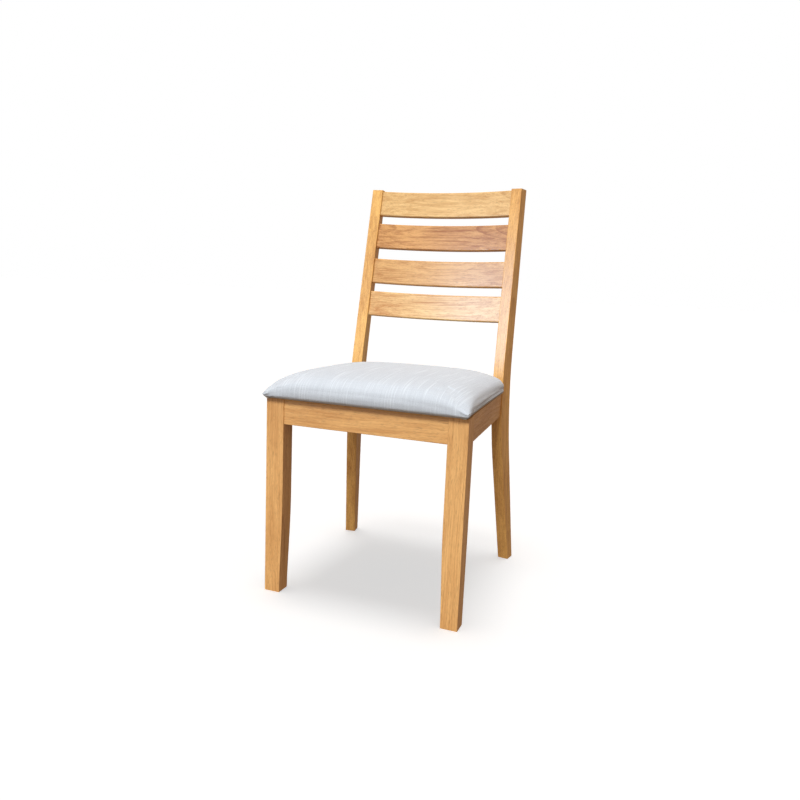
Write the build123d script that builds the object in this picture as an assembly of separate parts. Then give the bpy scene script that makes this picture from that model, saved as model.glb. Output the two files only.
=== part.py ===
from build123d import *
import os
from math import asin, atan, cos, degrees, radians, sin, tan

# Dining chair. Millimetres. +Z is up, the chair faces -Y and +X is its right side seen from the front.
# The origin is on the floor, below the middle of the chair's overall box.

# Overall sizes
TOTAL_HEIGHT = 910
FRAME_HEIGHT = 427
FRONT_WIDTH = 440

# Front legs: outer and front faces are plumb, the two inner faces taper towards the foot
FRONT_LEG_WIDTH = 41
FRONT_LEG_DEPTH = 38
FRONT_FOOT_WIDTH = 36
FRONT_FOOT_DEPTH = 35
TAPER_START = 215

# Rear legs: one sawn board each, swept back above and below the seat,
# turned a little towards the sitter and leaning in a little towards the top
REAR_LEG_WIDTH = 26
REAR_LEG_TOE_IN = 9
REAR_LEG_LEAN = 2.4
REAR_HALF_WIDTH = 200.5
REAR_PIVOT_Y = 363
REAR_PIVOT_Z = 391
SWEEP_FRONT = [(425, 0), (348, 384), (450, TOTAL_HEIGHT)]
SWEEP_BACK = [(454, 0), (400, 401), (483, TOTAL_HEIGHT)]
SWEEP_FRONT_RADIUS = 650
SWEEP_BACK_RADIUS = 900
SWEEP_RUN_OUT = 30

# Aprons
APRON_HEIGHT = 54
APRON_THICKNESS = 20
FRONT_APRON_SETBACK = 2.5
SIDE_APRON_SETBACK = 3.5
REAR_APRON_FRONT_Y = 384
APRON_MIDDLE_Z = FRAME_HEIGHT - APRON_HEIGHT / 2
SIDE_APRON_REAR_JOINT_Y = 364

# Back slats: curved boards, all cut to one radius, tenoned into the rear legs
SLAT_HEIGHT = 62
SLAT_THICKNESS = 16
SLAT_RADIUS = 920
SLAT_SETBACK = 8.4
SLAT_HEIGHTS = {"top_slat": 874, "upper_slat": 792, "middle_slat": 703.5, "lower_slat": 621}
TENON_HEIGHT = 44
TENON_THICKNESS = 9
TENON_LENGTH = 14

# Corner blocks, dowels and screws
BLOCK_WIDTH = 24
BLOCK_BOTTOM = 385
BLOCK_TOP = 425
FRONT_BLOCK_OFFSET = 135
REAR_BLOCK_OFFSET = 534
BLOCK_FACE_DROP = BLOCK_WIDTH * 2 ** 0.5
DOWEL_RADIUS = 4
DOWEL_LENGTH = 30
DOWEL_SPACING = 26
SCREW_RADIUS = 2
SCREW_HEAD_RADIUS = 4
SCREW_HEAD_HEIGHT = 2.6
SCREW_HEAD_ROUND = 1
SCREW_CROSS = (4.6, 0.9, 1.4)
SCREW_POCKET_RADIUS = 4.6
SCREW_POCKET_DEPTH = 20
BLOCK_SCREW_LENGTH = 35
BLOCK_SCREW_SINK = 4.8
FRONT_APRON_SCREW_X = 150
REAR_APRON_SCREW_X = 143
SIDE_APRON_SCREW_YS = (66, 347)
SEAT_SCREW_LENGTH = 44
SEAT_SCREW_HEAD_Z = 393
SEAT_SCREWS = [(172, 54), (157, 360)]
HOLE_CLEARANCE = 0.05

# Seat pad: cover round a foam block on a plywood board
PAD_FRONT_Y = -14
PAD_BACK_Y = 399
PAD_FRONT_HALF = 224.5
PAD_BACK_HALF = 205
PAD_TOP = 484
PAD_CORNER = 18
BOARD_CORNER = 14
COVER_THICKNESS = 1.2
BOARD_THICKNESS = 12
BOARD_INSET = 8
NOTCH_HALF_WIDTH = 170.5
NOTCH_Y = 360.5
COVER_RETURN = 14
DUST_COVER_THICKNESS = 0.5
DUST_COVER_MARGIN = 1.5
# How far the pad's outline draws in at heights above its underside, as shares of its full height
PAD_SECTIONS = [(0, 5), (0.08, 1), (0.2, 0), (0.4, 2), (0.6, 9), (0.78, 25), (0.9, 52), (0.97, 88), (1, 122)]

# Staples
STAPLE_WIRE = 0.6
STAPLE_CROWN = 10
STAPLE_LEG = 6
STAPLE_STEP = 42
STAPLE_MARGIN = 7
END_STAPLES_EACH_WAY = 3
SIDE_STAPLES = 6

EDGE_EASE = 1.2
SLAT_EASE = 2.5

# How far a board runs on before it is cut to its neighbour, and a length well past every piece
OVERRUN = 15
FAR = 1000


def box_between(low, high):
    """A box from its lowest to its highest corner."""
    size = [b - a for a, b in zip(low, high)]
    middle = [(a + b) / 2 for a, b in zip(low, high)]
    return Pos(*middle) * Box(*size)


def mirrored(shape):
    """The same piece on the other side of the chair."""
    return mirror(shape, Plane.YZ)


# ---------------------------------------------------------------- legs

def taper_profile(full, foot):
    """Side view of a leg that keeps its width down to the taper and then narrows to the foot."""
    curve = Spline((full, TAPER_START), (foot, 0), tangents=[(0, -1), (-0.01, -1)])
    outline = [
        curve,
        Line((foot, 0), (0, 0)),
        Line((0, 0), (0, FRAME_HEIGHT)),
        Line((0, FRAME_HEIGHT), (full, FRAME_HEIGHT)),
        Line((full, FRAME_HEIGHT), (full, TAPER_START)),
    ]
    return make_face(outline)


def front_leg():
    """Right front leg."""
    corner = Pos(FRONT_WIDTH / 2, 0, 0)
    seen_from_front = extrude(Plane.XZ * taper_profile(FRONT_LEG_WIDTH, FRONT_FOOT_WIDTH), -FRONT_LEG_DEPTH)
    seen_from_side = extrude(Plane.YZ * taper_profile(FRONT_LEG_DEPTH, FRONT_FOOT_DEPTH), FRONT_LEG_WIDTH)
    leg = seen_from_front & seen_from_side
    leg = fillet(long_edges(leg), EDGE_EASE)
    return corner * mirrored(leg)


def long_edges(leg):
    """The edges that run up a leg."""
    return leg.edges().filter_by(lambda edge: edge.bounding_box().size.Z > TAPER_START / 2)


def rear_leg():
    """Right rear leg: a swept board, turned and leaned, then cut level at the floor and the top."""
    front = FilletPolyline(*lengthened(SWEEP_FRONT, SWEEP_RUN_OUT), radius=SWEEP_FRONT_RADIUS)
    back = FilletPolyline(*lengthened(SWEEP_BACK, SWEEP_RUN_OUT), radius=SWEEP_BACK_RADIUS)
    outline = [front, Line(front @ 1, back @ 1), back, Line(front @ 0, back @ 0)]
    board = extrude(Plane.YZ * make_face(outline), -REAR_LEG_WIDTH)
    sweeping = board.edges().filter_by(lambda edge: edge.bounding_box().size.Z > 2 * REAR_LEG_WIDTH)
    board = fillet(sweeping, EDGE_EASE)
    turn = Pos(REAR_HALF_WIDTH, REAR_PIVOT_Y, REAR_PIVOT_Z) * Rot(0, 0, -REAR_LEG_TOE_IN)
    board = turn * Rot(0, -REAR_LEG_LEAN, 0) * Pos(0, -REAR_PIVOT_Y, -REAR_PIVOT_Z) * board
    return board & box_between((0, 0, 0), (FAR, FAR, TOTAL_HEIGHT))


def lengthened(points, extra):
    """A bent line's points with both ends run on past the floor and the top."""
    (y0, z0), knee, (y2, z2) = points
    low = (y0 + (y0 - knee[0]) * extra / (knee[1] - z0), z0 - extra)
    high = (y2 + (y2 - knee[0]) * extra / (z2 - knee[1]), z2 + extra)
    return low, knee, high


# ---------------------------------------------------------------- aprons and dowels

def side_apron_line():
    """Start and direction, in plan, of the right side apron's outer face."""
    start = Vector(FRONT_WIDTH / 2 - SIDE_APRON_SETBACK, FRONT_LEG_DEPTH)
    end = Vector(REAR_HALF_WIDTH - SIDE_APRON_SETBACK, REAR_PIVOT_Y)
    return start, (end - start).normalized()


def side_apron_inner_x(y):
    """Where the right side apron's inner face is at a given y."""
    start, along = side_apron_line()
    slope = along.X / along.Y
    return start.X - APRON_THICKNESS / along.Y + slope * (y - start.Y)


def eased(board):
    """An apron with its long edges taken off."""
    return fillet(board.edges().filter_by(lambda edge: edge.length > 2 * APRON_HEIGHT), EDGE_EASE)


def apron_board(start, along, length):
    """A straight apron whose outer face starts at a point in plan and runs along a direction."""
    across = Vector(-along.Y, along.X)
    plan = Polyline(
        start,
        start + along * length,
        start + along * length + across * APRON_THICKNESS,
        start + across * APRON_THICKNESS,
        close=True,
    )
    return eased(extrude(Pos(0, 0, FRAME_HEIGHT - APRON_HEIGHT) * make_face(plan), APRON_HEIGHT))


def front_apron():
    """Front apron between the front legs, set back a little."""
    half = FRONT_WIDTH / 2 - FRONT_LEG_WIDTH
    low = (-half, FRONT_APRON_SETBACK, FRAME_HEIGHT - APRON_HEIGHT)
    return eased(box_between(low, (half, FRONT_APRON_SETBACK + APRON_THICKNESS, FRAME_HEIGHT)))


def side_apron(leg):
    """Right side apron, cut to the rear leg's turned face."""
    start, along = side_apron_line()
    long_board = apron_board(start, along, REAR_PIVOT_Y - FRONT_LEG_DEPTH + OVERRUN)
    square_end = box_between((0, FRONT_LEG_DEPTH, 0), (FAR, FAR, TOTAL_HEIGHT))
    return largest((long_board & square_end) - leg)


def rear_apron(legs):
    """Rear apron between the rear legs."""
    half = REAR_HALF_WIDTH - REAR_LEG_WIDTH / 3
    low = (-half, REAR_APRON_FRONT_Y, FRAME_HEIGHT - APRON_HEIGHT)
    board = eased(box_between(low, (half, REAR_APRON_FRONT_Y + APRON_THICKNESS, FRAME_HEIGHT)))
    for leg in legs:
        board = board - leg
    return largest(board)


def largest(shape):
    """The biggest solid of a shape that a cut may have split."""
    return shape.solids().sort_by(SortBy.VOLUME)[-1]


def rear_leg_inner_x(y):
    """Where the right rear leg's inner face is at a given y, at the height of the aprons."""
    toe_in = radians(REAR_LEG_TOE_IN)
    return REAR_HALF_WIDTH - REAR_LEG_WIDTH / cos(toe_in) + (y - REAR_PIVOT_Y) * tan(toe_in)


def dowel_pair(point, along, radius):
    """Two dowels, one above the other, centred on a joint face."""
    pair = []
    for step in (-0.5, 0.5):
        centre = Vector(point.X, point.Y, APRON_MIDDLE_Z + step * DOWEL_SPACING)
        plane = Plane(origin=centre, z_dir=along)
        pair.append(plane * Cylinder(radius, DOWEL_LENGTH))
    return pair


def apron_dowels(radius):
    """Every dowel between the aprons and the legs, or with a larger radius their holes."""
    start, along = side_apron_line()
    middle = Vector(-along.Y, along.X) * (APRON_THICKNESS / 2)
    rear_joint = start + along * (SIDE_APRON_REAR_JOINT_Y - FRONT_LEG_DEPTH) / along.Y + middle
    front_joint = Vector(FRONT_WIDTH / 2 - FRONT_LEG_WIDTH, FRONT_APRON_SETBACK + APRON_THICKNESS / 2)
    back_y = REAR_APRON_FRONT_Y + APRON_THICKNESS / 2
    back_joint = Vector(rear_leg_inner_x(back_y), back_y)
    right = dowel_pair(front_joint, Vector(1, 0, 0), radius)
    right += dowel_pair(start + middle, along, radius)
    right += dowel_pair(rear_joint, along, radius)
    right += dowel_pair(back_joint, Vector(1, 0, 0), radius)
    return right + [mirrored(dowel) for dowel in right]


# ---------------------------------------------------------------- back slats

def sweep_front_y(z):
    """The swept board's front edge above the bend, before the leg is turned."""
    (knee_y, knee_z), (top_y, top_z) = SWEEP_FRONT[1:]
    return knee_y + (top_y - knee_y) * (z - knee_z) / (top_z - knee_z)


def curved_bar(half_length, height, thickness, front_offset):
    """A bar bent to the slats' curve, standing on z = 0 with its ends towards -Y."""
    front = SLAT_RADIUS + front_offset
    back = front + thickness
    angle = asin(half_length / SLAT_RADIUS)
    ends = [(r * sin(angle), r * cos(angle) - SLAT_RADIUS) for r in (front, back)]
    plan = [
        ThreePointArc((-ends[0][0], ends[0][1]), (0, front - SLAT_RADIUS), ends[0]),
        Line(ends[0], ends[1]),
        ThreePointArc(ends[1], (0, back - SLAT_RADIUS), (-ends[1][0], ends[1][1])),
        Line((-ends[1][0], ends[1][1]), (-ends[0][0], ends[0][1])),
    ]
    return extrude(Pos(0, 0, -height / 2) * make_face(plan), height)


def slat_place(z):
    """Where a slat stands: leaning back with the legs, its ends just behind their front faces."""
    toe_in = radians(REAR_LEG_TOE_IN)
    end_y = REAR_PIVOT_Y + (sweep_front_y(z) - REAR_PIVOT_Y) * cos(toe_in)
    end_y += REAR_LEG_WIDTH * sin(toe_in) + SLAT_SETBACK
    rise = (SWEEP_FRONT[2][0] - SWEEP_FRONT[1][0]) / (SWEEP_FRONT[2][1] - SWEEP_FRONT[1][1])
    half = slat_half_span(z)
    bow = SLAT_RADIUS * (1 - cos(asin(half / SLAT_RADIUS)))
    return Pos(0, end_y + bow, z) * Rot(-degrees(atan(rise * cos(toe_in))), 0, 0)


def slat_half_span(z):
    """Half the gap between the rear legs' inner faces at a height."""
    toe_in = radians(REAR_LEG_TOE_IN)
    outer = REAR_HALF_WIDTH - (z - REAR_PIVOT_Z) * sin(radians(REAR_LEG_LEAN))
    return outer + (sweep_front_y(z) - REAR_PIVOT_Y) * sin(toe_in) - REAR_LEG_WIDTH * cos(toe_in)


def slat(z, legs):
    """One slat with its two tenons."""
    half = slat_half_span(z)
    bar = curved_bar(half + OVERRUN, SLAT_HEIGHT, SLAT_THICKNESS, 0)
    bar = fillet(bar.edges().filter_by(GeomType.CIRCLE), SLAT_EASE)
    body = slat_place(z) * bar
    for leg in legs:
        body = body - leg
    tenon_offset = (SLAT_THICKNESS - TENON_THICKNESS) / 2
    tenons = slat_place(z) * curved_bar(half + TENON_LENGTH, TENON_HEIGHT, TENON_THICKNESS, tenon_offset)
    return largest(body) + tenons


# ---------------------------------------------------------------- corner blocks and screws

def frame_inside():
    """The space inside the aprons, as a tall prism."""
    front_y = FRONT_APRON_SETBACK + APRON_THICKNESS
    front_x = side_apron_inner_x(front_y)
    back_x = side_apron_inner_x(REAR_APRON_FRONT_Y)
    plan = Polyline(
        (-front_x, front_y), (front_x, front_y), (back_x, REAR_APRON_FRONT_Y), (-back_x, REAR_APRON_FRONT_Y),
        close=True,
    )
    return extrude(make_face(plan), TOTAL_HEIGHT)


def corner_block(offset, front):
    """Right front or rear corner block: slanted across the corner, its outer face on x -+ y = offset."""
    sign = -1 if front else 1
    middle = offset / 2 ** 0.5 - BLOCK_WIDTH / 2
    bar = Box(BLOCK_WIDTH, FAR, BLOCK_TOP - BLOCK_BOTTOM)
    bar = Rot(0, 0, sign * 45) * Pos(middle, 0, (BLOCK_BOTTOM + BLOCK_TOP) / 2) * bar
    return bar & frame_inside()


def screw(point, along, length):
    """A cross-recessed pan-head screw: head's underside at the point, shank along the direction."""
    plane = Plane(origin=point, z_dir=along)
    shank = Pos(0, 0, length / 2) * Cylinder(SCREW_RADIUS, length)
    head = Pos(0, 0, -SCREW_HEAD_HEIGHT / 2) * Cylinder(SCREW_HEAD_RADIUS, SCREW_HEAD_HEIGHT)
    head = fillet(head.edges().sort_by(Axis.Z)[0], SCREW_HEAD_ROUND)
    slot_length, slot_width, slot_depth = SCREW_CROSS
    slot = Pos(0, 0, slot_depth / 2 - SCREW_HEAD_HEIGHT) * Box(slot_length, slot_width, slot_depth)
    return plane * (shank + head - slot - Rot(0, 0, 90) * slot)


def screw_hole(point, along, length):
    """A screw's hole: its shank's bore, and the pocket that lets its head into a block."""
    plane = Plane(origin=point, z_dir=along)
    bore = Pos(0, 0, length / 2) * Cylinder(SCREW_RADIUS + HOLE_CLEARANCE, length)
    head_pocket = Pos(0, 0, -SCREW_POCKET_DEPTH / 2) * Cylinder(SCREW_POCKET_RADIUS, SCREW_POCKET_DEPTH)
    return plane * (bore + head_pocket)


def block_screw_places():
    """Head points and directions of the right side's block screws, sunk below each block's slanted face."""
    z = (BLOCK_BOTTOM + BLOCK_TOP) / 2
    front_face = FRONT_BLOCK_OFFSET - BLOCK_FACE_DROP
    rear_face = REAR_BLOCK_OFFSET - BLOCK_FACE_DROP
    front_side_y, rear_side_y = SIDE_APRON_SCREW_YS
    front_y = FRONT_APRON_SCREW_X - front_face - BLOCK_SCREW_SINK
    rear_y = rear_face - REAR_APRON_SCREW_X + BLOCK_SCREW_SINK
    return [
        (Vector(FRONT_APRON_SCREW_X, front_y, z), Vector(0, -1, 0)),
        (Vector(front_face + front_side_y + BLOCK_SCREW_SINK, front_side_y, z), Vector(1, 0, 0)),
        (Vector(REAR_APRON_SCREW_X, rear_y, z), Vector(0, 1, 0)),
        (Vector(rear_face - rear_side_y + BLOCK_SCREW_SINK, rear_side_y, z), Vector(1, 0, 0)),
    ]


def seat_screw_places():
    """Head points and directions of the right side's seat screws."""
    return [(Vector(x, y, SEAT_SCREW_HEAD_Z), Vector(0, 0, 1)) for x, y in SEAT_SCREWS]


# ---------------------------------------------------------------- seat pad

def pad_outline(inset, corner):
    """The pad's outline in plan, drawn in by an amount."""
    front, back = PAD_FRONT_Y + inset, PAD_BACK_Y - inset
    front_half, back_half = PAD_FRONT_HALF - inset, PAD_BACK_HALF - inset
    plan = make_face(
        Polyline((-front_half, front), (front_half, front), (back_half, back), (-back_half, back), close=True)
    )
    return fillet(plan.vertices(), corner)


def pillow(skin):
    """The crowned pad, drawn in on every side by a skin thickness."""
    bottom, top = FRAME_HEIGHT + skin, PAD_TOP - skin
    sections = []
    for share, inset in PAD_SECTIONS:
        z = bottom + share * (top - bottom)
        sections.append(Pos(0, 0, z) * pad_outline(inset + skin, PAD_CORNER))
    return loft(sections, ruled=True)


def without_notches(shape, gap):
    """The pad cut back round the rear legs."""
    half, y = NOTCH_HALF_WIDTH - gap, NOTCH_Y - gap
    cut = box_between((half, y, 0), (FAR, FAR, TOTAL_HEIGHT))
    return shape - cut - mirrored(cut)


def seat_board():
    """Plywood board."""
    plan = pad_outline(BOARD_INSET, BOARD_CORNER)
    board = extrude(Pos(0, 0, FRAME_HEIGHT + COVER_THICKNESS) * plan, BOARD_THICKNESS)
    return without_notches(board, BOARD_INSET)


def seat_foam(board):
    """Foam block, wrapped over the board's edge."""
    return without_notches(pillow(COVER_THICKNESS), COVER_THICKNESS) - board


def inner_margin(inset, bottom, top):
    """The space inside the aprons and legs, drawn in by a margin, between two heights."""
    front_y = FRONT_APRON_SETBACK + APRON_THICKNESS + inset
    back_y = REAR_APRON_FRONT_Y - inset
    front_x, front_step_y = FRONT_WIDTH / 2 - FRONT_LEG_WIDTH - inset, FRONT_LEG_DEPTH + inset
    back_x, back_step_y = NOTCH_HALF_WIDTH - inset, NOTCH_Y - inset
    right = [
        (front_x, front_y),
        (front_x, front_step_y),
        (side_apron_inner_x(front_step_y) - inset, front_step_y),
        (side_apron_inner_x(back_step_y) - inset, back_step_y),
        (back_x, back_step_y),
        (back_x, back_y),
    ]
    left = [(-x, y) for x, y in reversed(right)]
    return extrude(Pos(0, 0, bottom) * make_face(Polyline(*right, *left, close=True)), top - bottom)


def seat_cover():
    """Woven cover: a thin skin over the foam, turned under the board."""
    outer = without_notches(pillow(0), 0)
    inner = without_notches(pillow(COVER_THICKNESS), COVER_THICKNESS)
    opening = inner_margin(COVER_RETURN, FRAME_HEIGHT - 1, FRAME_HEIGHT + COVER_THICKNESS)
    return outer - inner - opening


def dust_cover():
    """Thin black cloth that closes the pad's underside inside the frame."""
    return inner_margin(DUST_COVER_MARGIN, FRAME_HEIGHT - DUST_COVER_THICKNESS, FRAME_HEIGHT)


def staple(point, turn, wire):
    """One staple, crown below the dust cover and legs up into the board."""
    half, inner = STAPLE_CROWN / 2 + wire - STAPLE_WIRE, STAPLE_CROWN / 2 - STAPLE_WIRE
    outline = [
        (-half, -STAPLE_WIRE), (half, -STAPLE_WIRE), (half, STAPLE_LEG), (half - wire, STAPLE_LEG),
        (inner, 0), (-inner, 0), (wire - half, STAPLE_LEG), (-half, STAPLE_LEG),
    ]
    bent_wire = extrude(Plane.XZ * make_face(Polyline(*outline, close=True)), wire / 2, both=True)
    return Pos(point[0], point[1], FRAME_HEIGHT - DUST_COVER_THICKNESS) * Rot(0, 0, turn) * bent_wire


def cover_staples(wire):
    """A row of staples along each edge of the dust cover, or with a thicker wire their holes."""
    front_y = FRONT_APRON_SETBACK + APRON_THICKNESS + STAPLE_MARGIN
    back_y = REAR_APRON_FRONT_Y - STAPLE_MARGIN
    along = side_apron_line()[1]
    lean = -degrees(atan(along.X / along.Y))
    steps = range(-END_STAPLES_EACH_WAY, END_STAPLES_EACH_WAY + 1)
    staples = [staple((step * STAPLE_STEP, y), 0, wire) for y in (front_y, back_y) for step in steps]
    for step in range(SIDE_STAPLES):
        y = front_y + (step + 1) * STAPLE_STEP
        right = staple((side_apron_inner_x(y) - STAPLE_MARGIN, y), 90 + lean, wire)
        staples += [right, mirrored(right)]
    return staples


# ---------------------------------------------------------------- assembly

def both_sides(places):
    """Right-side places and directions, followed by their mirror images."""
    left = [(Vector(-p.X, p.Y, p.Z), Vector(-d.X, d.Y, d.Z)) for p, d in places]
    return places + left


def all_solids(shapes):
    """The separate solids of a group of pieces that share one node."""
    return [solid for shape in shapes for solid in shape.solids()]


def build_chair():
    """Every node of the chair, by name, each as a list of solids."""
    rear_right, front_right = rear_leg(), front_leg()
    rear_left, front_left = mirrored(rear_right), mirrored(front_right)
    rear_blanks = [rear_right, rear_left]
    slats = {name: slat(z, rear_blanks) for name, z in SLAT_HEIGHTS.items()}
    side_right = side_apron(rear_right)
    frame = {
        "front_leg_left": front_left, "front_leg_right": front_right,
        "rear_leg_left": rear_left, "rear_leg_right": rear_right,
        "front_apron": front_apron(), "rear_apron": rear_apron(rear_blanks),
        "side_apron_left": mirrored(side_right), "side_apron_right": side_right,
    }
    front_block = corner_block(FRONT_BLOCK_OFFSET, True)
    rear_block = corner_block(REAR_BLOCK_OFFSET, False)
    blocks = {
        "corner_block_front_left": mirrored(front_block), "corner_block_front_right": front_block,
        "corner_block_rear_left": mirrored(rear_block), "corner_block_rear_right": rear_block,
    }
    board = seat_board()
    pad = {
        "seat_board": board, "seat_foam": seat_foam(board),
        "seat_cover": seat_cover(), "dust_cover": dust_cover(),
    }

    block_places = both_sides(block_screw_places())
    seat_places = both_sides(seat_screw_places())
    block_holes = [screw_hole(p, d, BLOCK_SCREW_LENGTH) for p, d in block_places]
    seat_holes = [screw_hole(p, d, SEAT_SCREW_LENGTH) for p, d in seat_places]
    dowel_holes = apron_dowels(DOWEL_RADIUS + HOLE_CLEARANCE)
    staple_holes = cover_staples(STAPLE_WIRE + HOLE_CLEARANCE)

    nodes = {name: all_solids([shape]) for name, shape in slats.items()}
    for name, shape in frame.items():
        tenons = list(slats.values()) if name.startswith("rear_leg") else []
        nodes[name] = all_solids([drilled(shape, dowel_holes + block_holes + tenons)])
    for name, shape in blocks.items():
        nodes[name] = all_solids([drilled(shape, block_holes + seat_holes)])
    for name, shape in pad.items():
        nodes[name] = all_solids([drilled(shape, seat_holes + staple_holes)])
    nodes["apron_dowels"] = all_solids(apron_dowels(DOWEL_RADIUS))
    nodes["block_screws"] = all_solids(screw(p, d, BLOCK_SCREW_LENGTH) for p, d in block_places)
    nodes["seat_screws"] = all_solids(screw(p, d, SEAT_SCREW_LENGTH) for p, d in seat_places)
    nodes["cover_staples"] = all_solids(cover_staples(STAPLE_WIRE))
    return nodes


def drilled(shape, tools):
    """A shape with each tool that reaches it cut out."""
    reach = shape.bounding_box()
    for tool in tools:
        if boxes_meet(reach, tool.bounding_box()):
            shape = shape - tool
    return shape


def boxes_meet(a, b):
    """Whether two bounding boxes share any space."""
    return all(
        low_a < high_b and low_b < high_a
        for low_a, high_a, low_b, high_b in zip(a.min, a.max, b.min, b.max)
    )


def middle_of_box(nodes):
    """The y at the middle of the whole chair's box."""
    boxes = [solid.bounding_box() for solids in nodes.values() for solid in solids]
    return (min(box.min.Y for box in boxes) + max(box.max.Y for box in boxes)) / 2


chair = build_chair()
to_origin = Pos(0, -middle_of_box(chair), 0)
os.makedirs("parts", exist_ok=True)
for node, solids in chair.items():
    export_step(Compound([to_origin * solid for solid in solids]), f"parts/{node}.step")
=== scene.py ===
"""Dining chair: wood, fabric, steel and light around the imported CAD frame.

Metres, in the frame's own axes: +Z is up, the chair faces -Y, and +X is its right side seen from the front.
"""

from math import hypot, pi, radians, sin

import bpy
from mathutils import Matrix, Vector


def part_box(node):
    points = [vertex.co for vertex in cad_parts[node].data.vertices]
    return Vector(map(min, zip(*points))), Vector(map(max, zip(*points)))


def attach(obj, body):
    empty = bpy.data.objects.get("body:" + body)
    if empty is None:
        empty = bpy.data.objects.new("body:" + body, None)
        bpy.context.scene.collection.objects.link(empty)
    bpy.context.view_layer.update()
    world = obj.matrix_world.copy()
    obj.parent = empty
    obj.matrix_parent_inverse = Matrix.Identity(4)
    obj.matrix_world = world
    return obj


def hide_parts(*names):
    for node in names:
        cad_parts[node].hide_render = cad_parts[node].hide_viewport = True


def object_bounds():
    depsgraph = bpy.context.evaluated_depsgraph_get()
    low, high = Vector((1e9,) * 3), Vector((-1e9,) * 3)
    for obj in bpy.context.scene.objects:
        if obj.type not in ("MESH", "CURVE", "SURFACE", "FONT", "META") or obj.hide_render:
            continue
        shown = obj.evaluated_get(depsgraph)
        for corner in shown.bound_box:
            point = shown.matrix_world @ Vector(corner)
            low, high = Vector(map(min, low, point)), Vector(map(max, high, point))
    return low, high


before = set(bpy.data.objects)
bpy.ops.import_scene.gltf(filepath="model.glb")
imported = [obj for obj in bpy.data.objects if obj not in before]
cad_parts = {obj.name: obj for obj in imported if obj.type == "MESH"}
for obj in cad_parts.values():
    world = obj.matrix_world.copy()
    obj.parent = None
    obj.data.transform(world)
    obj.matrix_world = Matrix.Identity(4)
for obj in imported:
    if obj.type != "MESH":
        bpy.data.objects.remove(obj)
cad_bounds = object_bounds()

# Camera
CAMERA_PLACE = (0.5549, -1.4815, 0.6651)
CAMERA_YAW = 20.945
CAMERA_PITCH = -9.172
CAMERA_ROLL = 2.437
CAMERA_LENS = 31.28
SENSOR_WIDTH = 36

# Seat pad, as the upholsterer would measure it
PAD_FRONT_HALF = 0.2241
PAD_BACK_HALF = 0.2040
PAD_WAIST = 0.0032
PAD_OVERHANG = 0.0012
PAD_CORNER_RADIUS = 0.007
PAD_REAR_CORNER_RADIUS = 0.013
NOTCH_CORNER_RADIUS = 0.006
NOTCH_HALF_WIDTH = 0.1705
NOTCH_DEPTH = 0.0385
NOTCH_FADE = 0.015
EQUATOR_RISE = 0.0088
CROWN_RISE = 0.0519
CROWN_SHIFT = -0.07
CROWN_POWER_ACROSS = 3.28
CROWN_POWER_ALONG = 3.07
CROWN_ROUNDNESS = 0.264
CORNER_TAPER_POWER = 9.4
CORNER_STEPS = 8
WAIST_STEPS = 8
WAIST_RADIUS = 0.012
# Section of the pad's lower edge, from its widest line inwards: how far in,
# and how far down, as a share of the way to the frame
LOWER_EDGE = [
    (0.0, 0.0),
    (0.0004, 0.15),
    (0.0014, 0.34),
    (0.0032, 0.55),
    (0.0058, 0.76),
    (0.0092, 0.93),
    (0.013, 1.0),
]
COVER_THICKNESS = 0.001
COVER_LIFT = 0.0003
COVER_FLAP = 0.75
FOAM_GAP = 0.0004
BOARD_INSET = 0.008
BOARD_CLEARANCE = 0.0006
FOAM_ROOF_SHARES = (0.35, 0.7)
PAD_POINTS_AROUND = 384
PAD_RINGS = 52
RING_CROWDING = 2.4
FLAP_RINGS = 5
# How much of a steep rise the cloth's length takes up, for the weave
STEEP_SHARE = 0.8

# Simulation of the cover
PRESSURE = 3.0
SIMULATED_FRAMES = 18
MOST_SWELL = 0.0015
HELD_BELOW_EQUATOR = 0.003

# Gathers at the cover's front corners
PUCKER_INSET = 0.010
PUCKER_DROP = 0.004
PUCKER_REACH = 0.055
PUCKER_LOWEST = 0.005
PUCKER_STRETCH = 1.4
PUCKER_CORE = 0.004
PUCKER_CLEAR = 0.012
PUCKER_FADE_POWER = 1.4
PUCKER_DEPTH = 0.0011
PUCKER_FOLDS = 13

# Dust cover
DUST_COVER_MARGIN = 0.0015
DUST_COVER_CORNER = 0.002
DUST_COVER_REAR_EASE = 0.0008
DUST_COVER_POINTS = 240
DUST_COVER_RINGS = 24
DUST_COVER_SAG = 0.0022
DUST_COVER_DROP = 0.0001
DUST_COVER_THICKNESS_SHARE = 0.8

# Stage
FLOOR_HALF_WIDTH = 60

# Grain directions of boards, as the axis the fibres follow
ALONG_X, ALONG_Y, ALONG_Z = "x", "y", "z"


# ---------------------------------------------------------------- node helpers

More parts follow.
